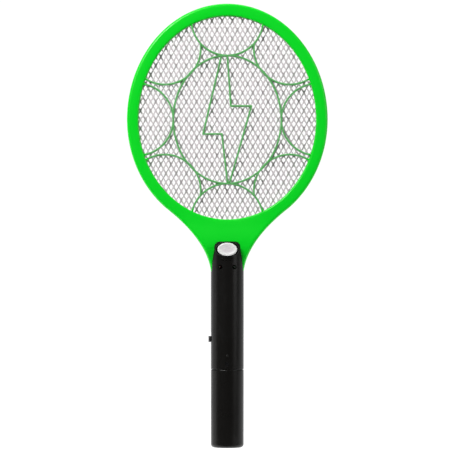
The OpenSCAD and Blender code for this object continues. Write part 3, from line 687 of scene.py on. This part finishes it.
def green_frame(name, front):
    ob = frame_body(name)
    boolean(ob, guard(), "UNION")
    # half tube that goes down into the handle
    n = 40
    verts, faces, rings = [], [], []
    for z in (150.0, 150.8, NECK_Z + 0.6):
        ring = []
        for rr in (BORE_R - 0.15 - (0.5 if z == 150.0 else 0.0), BORE_R - 2.1):
            for i in range(n + 1):
                t = math.pi + math.pi * i / n
                ring.append((rr * math.cos(t), rr * math.sin(t), z))
        rings.append((len(verts), ring))
        verts += ring
    m = n + 1
    for (a, _), (b, _) in zip(rings, rings[1:]):
        strip(faces, [a + i for i in range(m)], [b + i for i in range(m)], False)
        strip(faces, [a + m + i for i in range(m)], [b + m + i for i in range(m)], False)
        faces.append((a, b, b + m, a + m))
        faces.append((a + n, b + n, b + m + n, a + m + n))
    for a in (rings[0][0], rings[-1][0]):
        strip(faces, [a + i for i in range(m)], [a + m + i for i in range(m)], False)
    tube = make("tube", verts, faces)
    boolean(tube, [box((-20, -30, NECK_Z - 0.4), (20, -NECK_T + 0.8, NECK_Z + 3))], "DIFFERENCE")
    boolean(ob, [tube], "UNION")
    core = lathe([(0, NECK_Z + 0.1), (BORE_R - 0.15, NECK_Z + 0.1), (BORE_R - 0.15, 210.5), (0, 210.5)], 96, "core")
    boolean(core, [box((-20, -NECK_T + 0.02, 180), (20, -1.0, 212))], "INTERSECT")
    boolean(ob, [core], "UNION")
    # hollow of the neck
    hollow = [(neck_w(h) - 2.4, NECK_Z + h) for h in range(3, 37, 3)]
    hollow += [(-x, z) for x, z in reversed(hollow)]
    side = [(1.0, 180.0)] + [(-(half_thickness(z) - 2.2), float(z)) for z in range(180, 222, 2)] + [(1.0, 220.0)]
    depth = prism_y([(y, z) for y, z in side], -40, 40, "depth")
    depth.data.transform(Matrix.Rotation(math.radians(90), 4, "Z"))       # its outline now lies in Y and Z
    cut = [boolean(prism_y(hollow, -12, 1.0, "hollow"), [depth], "INTERSECT"),
           boolean(lathe([(0, 170), (BORE_R - 2.1, 170), (BORE_R - 2.1, 212), (0, 212)], 48, "bore"),
                   [box((-20, -8.7, 160), (20, 1, 215))], "INTERSECT"),
           box((-12, -4.9, 215), (12, 1.0, 231.5), "lead_way")]
    for x, z in SCREWS[:-2]:
        cut.append(rod_y(x, z, 1.1, -5.2, 1.0, 20))
    boolean(ob, cut, "DIFFERENCE")
    boolean(ob, [rod_y(x, z, 2.9, -9.0, -0.0, 24) for x, z in SCREWS[-2:]], "UNION")
    cut = [rod_y(0, 165.0, 3.5, -20, 1, 28)]
    for x, z in SCREWS[-2:]:
        cut.append(rod_y(x, z, 1.1, -7.2, 1.0, 20))
    if front:
        cut.append(rod_y(0, BUTTON_Z, 3.0, -12, -5, 32))
        cut += [rod_y(s * 7.3, 187.2, 2.4, -12, -5, 28) for s in (-1, 1)]
    else:
        for x, z in SCREWS:
            # sunk seat of the screw's head, with a bevelled rim
            face = half_thickness(z)
            cut.append(lathe([(0, -RING_T + 1.62), (1.98, -RING_T + 1.62), (1.98, -face + 0.22), (2.2, -face), (2.35, -face - 0.5), (0, -face - 0.5)],
                             28, "seat", centre=(x, 0, z), axis="y"))
    boolean(ob, cut, "DIFFERENCE")
    if not front:
        ob.data.transform(Matrix.Scale(-1, 4, (0, 1, 0)))
        ob.data.flip_normals()
    return finish_mesh(ob, name, GREEN, 34.0, "root", ("front_frame" if front else "rear_frame",))


green_frame("front_frame_moulding", True)
green_frame("rear_frame_moulding", False)


# ------------------------------------------------------------------ expanded-metal nets
def expanded_net(name, node, yc, shift, tab_x, rise=0.0):
    cw, ch = 10.6 / 2, 18.6 / 2
    strand = 1.8
    sh = strand / 2 * math.sqrt(1 / cw**2 + 1 / ch**2)
    dw, dh = cw * (1 - sh), ch * (1 - sh)
    p = 1.16
    th, te, lean = 0.21, 0.13, 0.17
    verts, faces, key, use = [], [], {}, {}

    def lattice(x, z):
        k = (round(x, 3), round(z, 3))
        if k not in key:
            key[k] = len(verts)
            verts.append((x, yc - th, z))
            verts.append((x, yc + th, z))
        return key[k]

    sub = 4
    corners = [(cw, 0), (0, ch), (-cw, 0), (0, -ch)]
    unit = []
    for c in range(4):
        (x0, z0), (x1, z1) = corners[c], corners[(c + 1) % 4]
        unit += [(x0 + (x1 - x0) * i / sub, z0 + (z1 - z0) * i / sub) for i in range(sub)]
    m = len(unit)
    for i in range(-22, 23):
        for j in range(-15, 16):
            if (i + j) % 2:
                continue
            cx, cz = i * cw + shift, j * ch + rise
            b = 114.0 if cz > 0 else 110.5
            if (cx / 99.0) ** 2 + (cz / b) ** 2 > 1.12:
                continue
            B = [lattice(cx + x, HEAD_Z + cz + z) for x, z in unit]
            H = []
            for x, z in unit:
                s = 1 / (abs(x / dw) ** p + abs(z / dh) ** p) ** (1 / p)
                hx, hz = s * x, s * z
                off = -lean * hz / dh
                H.append(len(verts))
                verts.append((cx + hx, yc - te + off, HEAD_Z + cz + hz))
                verts.append((cx + hx, yc + te + off, HEAD_Z + cz + hz))
            for k in range(m):
                q = (k + 1) % m
                faces.append((B[k], B[q], H[q], H[k]))
                faces.append((B[q] + 1, B[k] + 1, H[k] + 1, H[q] + 1))
                faces.append((H[k], H[q], H[q] + 1, H[k] + 1))
                e = (min(B[k], B[q]), max(B[k], B[q]))
                use[e] = use.get(e, 0) + 1
    for (a, b), n in use.items():
        if n == 1:
            faces.append((a, b, b + 1, a + 1))
    ob = make(name, verts, faces)
    boolean(ob, [prism_y(oval(6.6, 180, IN), yc - 2, yc + 2, "clip")], "INTERSECT")
    tab = rounded_block((tab_x - 2, yc - 0.25, HEAD_Z - 110.1 - 5.5), (tab_x + 2, yc + 0.25, HEAD_Z - 110.1 + 5), 0.15, 2, "tab")
    boolean(ob, [tab], "UNION")
    return finish_mesh(ob, name, NET, 40.0, "root", (node,))


expanded_net("front_net_expanded", "front_net", -4.2, 0.0, -8)
expanded_net("inner_net_expanded", "inner_net", 0.0, 5.3, 0)
expanded_net("rear_net_expanded", "rear_net", 4.2, 2.6, 8, 4.7)


# ------------------------------------------------------------------ handle
def tongue_top(x, w=13.7, z=TONGUE_Z, r=6.2):
    """Height of the tongue's rounded top above x."""
    a = abs(x)
    if a <= w - r:
        return z
    return z - r + math.sqrt(max(r * r - (a - (w - r)) ** 2, 0.0))


def handle_shell(name, front):
    """One half of the handle, front one: a solid half cylinder with its tongue, then hollowed. The tongue's
    sides follow the line where the round handle meets the neck's face."""
    gap = 0.05
    z0 = NECK_Z - 0.1
    theta = lambda z: math.acos((half_thickness(min(z, 211.0)) + gap) / GRIP_R)
    th0 = theta(z0)
    side = [-math.pi / 2 + (math.pi / 2 - th0) * i / 8 for i in range(8)]
    nt = 48
    mid = [th0 * (2 * i / nt - 1) for i in range(nt + 1)]
    angles = side + mid + [-a for a in reversed(side)]
    tongue = range(8, 9 + nt)
    cols = [(GRIP_R * math.sin(a), -GRIP_R * math.cos(a)) for a in angles]
    cols = [(x, 0.0 if abs(y) < 1e-9 else y) for x, y in cols]
    zs = [(SEAM + 0.2, 0.55), (SEAM + 0.34, 0.22), (SEAM + 0.7, 0.0), (SEAM + 1.1, 0.0), (SEAM + 4, 0), (90, 0), (100, 0), (120, 0), (140, 0), (160, 0), (175, 0), (z0, 0)]
    verts, faces, rows = [], [], []
    for z, d in zs:
        rows.append(list(range(len(verts), len(verts) + len(cols))))
        verts += [(x * (GRIP_R - d) / GRIP_R, y * (GRIP_R - d) / GRIP_R, z) for x, y in cols]
    for a, b in zip(rows, rows[1:]):
        strip(faces, a, b, False)
    trows = [[rows[-1][i] for i in tongue]]
    for z in (185, 187.5, 190, 192.5, 195, 197.5, 200, 202.5, 205):
        row = []
        for i in range(nt + 1):
            a = (2 * i / nt - 1) * theta(z)
            row.append(len(verts))
            verts.append((GRIP_R * math.sin(a), -GRIP_R * math.cos(a), z))
        trows.append(row)
    # top of each column: on the rounded outline, rolled over its edge down to the neck's face
    tops = []
    for i in range(nt + 1):
        u, z = 2 * i / nt - 1, 207.0
        for _ in range(12):
            x = GRIP_R * math.sin(u * theta(z))
            z = 0.5 * z + 0.5 * tongue_top(x)
        a = u * theta(z)
        x, y = GRIP_R * math.sin(a), -GRIP_R * math.cos(a)
        back = -(half_thickness(min(z, 211.0)) + gap)
        r = min(2.0, max((back - y) * 0.75, 0.02))
        tops.append((u, x, y, z, back, r))
    for f in (0.35, 0.7, 1.0):
        row = []
        for u, x, y, z, back, r in tops:
            zz = 205 + (z - r - 205) * f
            a = u * theta(zz) if abs(u) < 1 else math.copysign(theta(zz), u)
            row.append(len(verts))
            verts.append((GRIP_R * math.sin(a), -GRIP_R * math.cos(a), zz) if f < 1 else (x, y, zz))
        trows.append(row)
    for k in range(1, 7):
        th = math.pi / 2 * k / 6
        row = []
        for u, x, y, z, back, r in tops:
            row.append(len(verts))
            verts.append((x, min(y + r * (1 - math.cos(th)), back), z - r + r * math.sin(th)))
        trows.append(row)
    row = []
    for u, x, y, z, back, r in tops:
        row.append(len(verts))
        verts.append((x, back, z))
    trows.append(row)
    for a, b in zip(trows, trows[1:]):
        strip(faces, a, b, False)
    # back of the tongue, which lies on the neck: one strip of quads, then its rounded top
    for a, b in zip(trows[:10], trows[1:10]):
        faces.append((a[0], a[-1], b[-1], b[0]))
    cap_l = [r[0] for r in trows[9:-1]]
    cap_r = [r[-1] for r in trows[9:-1]]
    faces.append(tuple(cap_l + row + cap_r[::-1]))
    # the shelf at the neck's foot, the foot at the seam and the flat at y = 0
    lo, hi = tongue[0], tongue[-1]
    faces.append(tuple([rows[-1][i] for i in range(0, lo + 1)] + [rows[-1][i] for i in range(hi, len(cols))]))
    faces.append(tuple(rows[0]))
    faces.append(tuple([r[0] for r in rows] + [r[-1] for r in rows][::-1]))
    ob = make(name, verts, faces)
    bm = bmesh.new()
    bm.from_mesh(ob.data)
    bmesh.ops.remove_doubles(bm, verts=bm.verts, dist=2e-5)
    bmesh.ops.dissolve_degenerate(bm, dist=1e-6, edges=bm.edges)
    bmesh.ops.recalc_face_normals(bm, faces=bm.faces)
    bm.to_mesh(ob.data)
    bm.free()
    print("shell open edges", open_edges(ob))
    if front:
        # flat oval seat of the button, with a soft edge
        seat = oval_solid([(0, 0, -12.2), (12.5, 8.2, -12.2), (12.5, 8.2, -16.2), (12.42, 8.12, -16.55), (12.15, 7.85, -16.86), (11.8, 7.5, -17.0), (0, 0, -17.0)], 96, "seat")
        clip = prism_y([(x, tongue_top(x) - 0.35) for x in [13.3 * math.sin(math.radians(a)) for a in range(90, -91, -5)]] + [(-13.3, 190), (13.3, 190)], -20, -10, "clip")
        boolean(seat, [clip], "INTERSECT")
        boolean(ob, [seat], "UNION")
    # hollow: the bore up to the tongue's end wall
    top = [(x, tongue_top(x, BORE_R, TONGUE_Z - 2.2, 8.0)) for x in [BORE_R * math.sin(math.radians(a)) for a in range(-90, 91, 5)]]
    bore = lathe([(0, 60), (BORE_R, 60), (BORE_R, 230), (0, 230)], 96, "bore")
    boolean(bore, [prism_y(top + [(BORE_R + 3, 190), (BORE_R + 3, 50), (-BORE_R - 3, 50), (-BORE_R - 3, 190)], -40, 40, "clip")], "INTERSECT")
    cut = [bore]
    if front:
        bw, bh = 10.4, 7.05
        cut.append(oval_solid([(0, 0, -25), (bw + 0.45, bh + 0.45, -25), (bw + 0.45, bh + 0.45, -17.0), (bw + 0.3, bh + 0.3, -16.86), (bw, bh, -16.55), (bw, bh, -5), (0, 0, -5)], 96, "hole"))
        cut.append(oval_solid([(0, 0, -13.2), (11.3, 7.35, -13.2), (11.3, 7.35, -5), (0, 0, -5)], 96, "pocket", BUTTON_Z - 0.4))
        cut += [rod_y(s * 7.3, 187.2, 2.2, -20, -5, 40) for s in (-1, 1)]
        # lock screw: countersunk seat and clearance hole
        cut.append(lathe([(0, -20), (2.6, -20), (2.6, -GRIP_R - 0.05), (2.3, -GRIP_R + 0.25), (2.3, -GRIP_R + 1), (1.1, -GRIP_R + 1), (1.1, -10), (0, -10)],
                         40, "lock", centre=(0, 0, SEAM + 6), axis="y"))
        # two thin grooves
        for z in (193.5, 195.9):
            g = lathe([(GRIP_R - 0.55, z + 0.2), (GRIP_R - 0.55, z + 0.5), (GRIP_R + 1, z + 0.85), (GRIP_R + 1, z - 0.15)], 96, "groove")
            boolean(g, [rounded_block((-6.5, -20, z - 1), (6.5, -10, z + 2), 0.4, 3, "clip")], "INTERSECT")
            cut.append(g)
    else:
        for z in (104.0, 165.0):
            cut.append(lathe([(0, -20), (2.95, -20), (2.95, -GRIP_R - 0.05), (2.6, -GRIP_R + 0.35), (2.6, -10), (0, -10)], 40, "screw", centre=(0, 0, z), axis="y"))
    # half of the slot for the side knob
    cut.append(rounded_block((-40, -2.3, 109.1), (-BORE_R + 2, 4, 119.9), 0.6, 3, "slot"))
    boolean(ob, cut, "DIFFERENCE")
    # ribs, pillars and ledges inside; outside, a small round pip above the lock screw
    add = []
    if front:
        add.append(lathe([(0, -GRIP_R + 0.8), (1.25, -GRIP_R + 0.8), (1.25, -GRIP_R + 0.02), (1.1, -GRIP_R - 0.18), (0.7, -GRIP_R - 0.33), (0, -GRIP_R - 0.38)],
                         36, "pip", centre=(0, 0, SEAM + 14.4), axis="y"))
    for z in (SEAM + 12.6, SEAM + 17.0):
        r = lathe([(12.6, z), (BORE_R + 0.5, z), (BORE_R + 0.5, z + 1.4), (12.6, z + 1.4)], 72, "ring")
        boolean(r, [box((-20, -20, z - 1), (20, -0.02, z + 3))], "INTERSECT")
        add.append(r)
    for z in (104.0, 165.0):
        if front:
            add.append(lathe([(0, -BORE_R - 0.5), (3.2, -BORE_R - 0.5), (3.2, -0.05), (1.2, -0.05), (1.2, -10), (0, -10)], 32, "pillar", centre=(0, 0, z), axis="y"))
        else:
            add.append(lathe([(3.2, -BORE_R - 0.5), (3.2, -0.05), (1.35, -0.05), (1.35, -6), (2.6, -6), (2.6, -BORE_R - 0.5)], 32, "pillar", centre=(0, 0, z), axis="y"))
    boolean(ob, add, "UNION")
    if not front:
        ob.data.transform(Matrix.Scale(-1, 4, (0, 1, 0)))
        ob.data.flip_normals()
    node = "handle_front_shell" if front else "handle_rear_shell"
    return finish_mesh(ob, name, BLACK, 33.0, "root", (node,))


handle_shell("handle_front_moulding", True)
handle_shell("handle_rear_moulding", False)


def cap():
    rows = [(0, 0.0)]
    R = 3.5
    rows.append((GRIP_R - R, 0.0))
    for k in range(1, 9):
        t = math.pi / 2 * k / 8
        rows.append((GRIP_R - R + R * math.sin(t), R - R * math.cos(t)))
    rows += [(GRIP_R, R + 0.5), (GRIP_R, 8), (GRIP_R, 20), (GRIP_R, 40), (GRIP_R, 60), (GRIP_R, 72), (GRIP_R, SEAM - 1.1), (GRIP_R, SEAM - 0.75), (GRIP_R - 0.22, SEAM - 0.36), (GRIP_R - 0.55, SEAM - 0.2),
             (15.5, SEAM - 0.2), (15.2, SEAM - 0.5), (15.2, 60), (15.2, 30), (15.2, 4.0), (14.7, 2.9), (13.6, 2.5), (0, 2.5)]
    ob = lathe(rows, 112, "cap")
    add = []
    for s in (-1, 1):
        low = lathe([(0, 68), (15.35, 68), (15.35, SEAM - 0.5), (0, SEAM - 0.5)], 96, "low")
        boolean(low, [box((-6, min(s * 20, s * 12), 60), (6, max(s * 20, s * 12), 100))], "INTERSECT")
        high = lathe([(0, SEAM - 3), (14.3, SEAM - 3), (14.3, SEAM + 11.4), (13.9, SEAM + 12), (0, SEAM + 12)], 96, "high")
        boolean(high, [rounded_block((-6, min(s * 20, s * 12), 60), (6, max(s * 20, s * 12), SEAM + 12), 0.6, 3, "t")], "INTERSECT")
        add += [low, high]
    boolean(ob, add, "UNION")
    slot = [rod_y(0, SEAM + 6, 1.4, -16, -10, 32), box((-1.4, -16, SEAM + 6), (1.4, -10, SEAM + 20))]
    boolean(ob, slot, "DIFFERENCE")
    finish_mesh(ob, "battery_cap_moulding", BLACK, 33.0, "cap", ("battery_cap",))


cap()


def button():
    a, b = 10.1, 6.75
    rows = [(0, 0, -13.1), (a, b, -13.1), (a, b, -17.55)]
    r = 0.85
    for k in range(1, 7):
        t = math.pi / 2 * k / 6
        d = r * (1 - math.cos(t))
        rows.append((a - d, b - d, -17.55 - r * math.sin(t)))
    # narrow rim, then a shallow dish
    rows += [(a - 1.35, b - 1.35, -18.40), (a - 1.7, b - 1.7, -18.36), (a - 2.1, b - 2.1, -18.22), (a - 2.6, b - 2.6, -18.06),
             (a - 3.4, b - 3.3, -17.94), (a - 4.8, b - 4.3, -17.86), (a - 6.8, b - 5.3, -17.82), (a - 8.6, b - 6.1, -17.81), (0, 0, -17.81)]
    ob = oval_solid(rows, 96, "button")
    flange = oval_solid([(0, 0, -13.2), (10.95, 7.0, -13.1), (10.95, 7.0, -12.2), (0, 0, -12.2)], 96, "flange", BUTTON_Z - 0.4)
    stem = lathe([(0, -13.0), (2.5, -13.0), (2.5, -9.7), (2.2, -9.4), (0, -9.4)], 40, "stem", centre=(0, 0, BUTTON_Z), axis="y")
    boolean(ob, [flange, stem], "UNION")
    finish_mesh(ob, "push_button_cap", WHITE, 38.0, "button", ("push_button",))


button()


def knob():
    ob = rounded_block((-GRIP_R - 2.1, -1.95, 109.5), (-14.5, 1.95, 115.5), 0.35, 3, "knob")
    add = []
    for z in (110.1, 111.3, 112.5, 113.7, 114.9):
        ridge = rounded_block((-GRIP_R - 2.7, -1.75, z - 0.35), (-GRIP_R - 1.5, 1.75, z + 0.35), 0.25, 3, "ridge")
        add.append(ridge)
    add.append(box((-14.6, -1.2, 111), (-12, 1.2, 114)))
    boolean(ob, add, "UNION")
    finish_mesh(ob, "slide_switch_knob_ribbed", KNOB, 38.0, "switch_knob", ("slide_switch_knob",))


knob()

# ------------------------------------------------------------------ CAD nodes that stay: materials and soft edges
LOOKS = {
    "front_net_spacer": SPACER, "rear_net_spacer": SPACER,
    "frame_screws": STEEL, "handle_screws": STEEL,
    # painted shade: the lock screw's head is made near black so its seat reads as a dark hole without a glint
    "cap_lock_screw": metal("lock_screw_painted_shade", (0.006, 0.006, 0.0065), (0.003, 0.003, 0.003), 0.5, metallic=0.2, scale=900.0, spec=0.2),
    "led_left": LED_R, "led_right": LED_G,
    "battery_cradle": CRADLE,
    "positive_contact": NICKEL, "negative_contact": NICKEL, "bridge_contact": NICKEL,
    "upper_contact_spring": NICKEL, "lower_contact_spring": NICKEL,
    "front_net_terminal": BRASS, "inner_net_terminal": BRASS, "rear_net_terminal": BRASS,
    "slide_switch": metal("switch_can", (0.50, 0.50, 0.51), (0.34, 0.34, 0.34), 0.35, brushed=(1, 1, 0.1)),
    "tact_switch": simple("switch_moulding", (0.012, 0.012, 0.013), (0.03, 0.03, 0.03), 0.5),
    "switch_plunger": simple("plunger_moulding", (0.02, 0.02, 0.02), (0.05, 0.05, 0.05), 0.4),
    "circuit_board": simple("solder_mask", (0.008, 0.085, 0.030), (0.012, 0.13, 0.045), 0.3, 160.0, 0.08),
    "transformer_core": simple("ferrite", (0.018, 0.018, 0.020), (0.04, 0.04, 0.042), 0.55, 1400.0, 0.35),
    "transformer_coil": simple("winding", (0.42, 0.15, 0.045), (0.20, 0.07, 0.02), 0.35, 900.0, 0.4, 0.6, brush=(0.1, 0.1, 4.0)),
    "output_capacitor": simple("film_capacitor", (0.26, 0.05, 0.02), (0.36, 0.09, 0.035), 0.28, 240.0, 0.15),
    "disc_capacitors": simple("ceramic_disc", (0.03, 0.13, 0.46), (0.05, 0.18, 0.55), 0.3, 320.0, 0.2),
    "diodes": simple("diode_epoxy", (0.012, 0.012, 0.013), (0.035, 0.035, 0.036), 0.4, 700.0, 0.2),
    "resistors": simple("resistor_lacquer", (0.55, 0.38, 0.20), (0.46, 0.30, 0.15), 0.4, 500.0, 0.2),
    "transistor": simple("transistor_epoxy", (0.012, 0.012, 0.013), (0.035, 0.035, 0.036), 0.5, 700.0, 0.2),
}
red = simple("red_insulation", (0.60, 0.02, 0.012), (0.45, 0.015, 0.01), 0.45, 400.0, 0.15)
white_i = simple("white_insulation", (0.78, 0.77, 0.74), (0.62, 0.61, 0.58), 0.45, 400.0, 0.15)
black_i = simple("black_insulation", (0.015, 0.015, 0.015), (0.03, 0.03, 0.03), 0.45, 400.0, 0.15)
for n in ("lead_front_net", "lead_rear_net", "lead_battery_positive", "lead_switch_to_board"):
    LOOKS[n] = red
LOOKS["lead_inner_net"] = white_i
LOOKS["lead_battery_negative"] = black_i
for n, up in (("battery_cell_left", True), ("battery_cell_right", False)):
    lo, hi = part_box(n)
    LOOKS[n] = cell_jacket(n + "_jacket", lo.z, hi.z, up)

SOFT_EDGE = {"battery_cradle": 0.35, "battery_cell_left": 0.5, "battery_cell_right": 0.5, "frame_screws": 0.12,
             "handle_screws": 0.2, "cap_lock_screw": 0.12, "front_net_spacer": 0.3, "rear_net_spacer": 0.3,
             "transformer_core": 0.3, "output_capacitor": 0.8, "disc_capacitors": 0.8, "diodes": 0.3, "resistors": 0.4,
             "slide_switch": 0.15, "tact_switch": 0.2}
for n, m in LOOKS.items():
    ob = NODES[n]
    for i in range(max(len(ob.data.materials), 1)):
        if ob.material_slots:
            ob.material_slots[i].link = "OBJECT"
            ob.material_slots[i].material = m
        else:
            ob.data.materials.append(m)
    if n in SOFT_EDGE:
        w = ob.modifiers.new("weld", "WELD")
        w.merge_threshold = 2e-6
        b = ob.modifiers.new("edge", "BEVEL")
        b.width = SOFT_EDGE[n] * MM
        b.segments = 2
        b.limit_method = "ANGLE"
        b.angle_limit = math.radians(40)

# ------------------------------------------------------------------ studio
def area(name, loc, target, size, power, colour=(1, 1, 1)):
    l = bpy.data.lights.new(name, "AREA")
    l.shape = "RECTANGLE"
    l.size, l.size_y = size
    l.energy = power
    l.color = colour
    o = bpy.data.objects.new(name, l)
    o.location = loc
    o.rotation_euler = (Vector(target) - Vector(loc)).to_track_quat("-Z", "Y").to_euler()
    SCENE.collection.objects.link(o)
    return o


area("key", (-1.0, -1.35, 1.45), (0, 0, 0.28), (0.8, 0.8), 46.0)
area("fill", (1.6, -1.0, 0.75), (0, 0, 0.25), (0.9, 1.2), 11.0)
area("left_strip", (-1.5, -0.05, 0.35), (0, 0, 0.2), (0.22, 1.2), 0.8)
area("top", (0, 0.5, 2.0), (0, 0, 0), (1.6, 1.6), 14.0)

# white sweep behind and beside the object, darker studio in front of it
world = bpy.data.worlds.new("studio")
SCENE.world = world
world.use_nodes = True
nt = world.node_tree
nt.nodes.clear()
out = nt.nodes.new("ShaderNodeOutputWorld")
lit = nt.nodes.new("ShaderNodeBackground")
tc = nt.nodes.new("ShaderNodeTexCoord")
sx = nt.nodes.new("ShaderNodeSeparateXYZ")
nt.links.new(tc.outputs["Generated"], sx.inputs[0])
nt.links.new(mix(nt, ramp(nt, sx.outputs["Y"], -0.15, 0.60, 0.0, 1.0), (0.055, 0.055, 0.057), (0.66, 0.67, 0.68)), lit.inputs["Color"])
lit.inputs["Strength"].default_value = 1.0
seen = nt.nodes.new("ShaderNodeBackground")
seen.inputs["Color"].default_value = (1, 1, 1, 1)
seen.inputs["Strength"].default_value = 1.05
path = nt.nodes.new("ShaderNodeLightPath")
mx = nt.nodes.new("ShaderNodeMixShader")
nt.links.new(path.outputs["Is Camera Ray"], mx.inputs[0])
nt.links.new(lit.outputs[0], mx.inputs[1])
nt.links.new(seen.outputs[0], mx.inputs[2])
nt.links.new(mx.outputs[0], out.inputs[0])

floor_me = bpy.data.meshes.new("floor")
s = 9.0
# low enough for the battery cap to come off above it
low = -0.12
floor_me.from_pydata([(-s, -0.13, low), (s, -0.13, low), (s, s, low), (-s, s, low)], [], [(0, 1, 2, 3)])
floor = bpy.data.objects.new("floor", floor_me)
SCENE.collection.objects.link(floor)
fm, fnt, fp, fco = mat_nodes("pale_floor")
fnt.links.new(mix(fnt, ramp(fnt, noise(fnt, fco, 3.0, 3.0), 0.3, 0.7, 0.0, 1.0), (0.90, 0.90, 0.90), (0.93, 0.93, 0.93)), fp.inputs["Base Color"])
fp.inputs["Roughness"].default_value = 0.8
fp.inputs["Specular IOR Level"].default_value = 0.1
fp.inputs["Emission Color"].default_value = (1, 1, 1, 1)
fp.inputs["Emission Strength"].default_value = 0.80
floor_me.materials.append(fm)

SCENE.view_settings.view_transform = "Standard"

cam = bpy.data.cameras.new("camera")
cam.sensor_width = 36.0
DIST = 4.0
cam.lens = 36.0 * DIST / 0.4667
cam.clip_end = 60.0
cam_ob = bpy.data.objects.new("camera", cam)
cam_ob.location = (-0.0024, -DIST, 0.2307)
cam_ob.rotation_euler = (math.pi / 2, 0, 0)
SCENE.collection.objects.link(cam_ob)
SCENE.camera = cam_ob

bpy.context.view_layer.update()
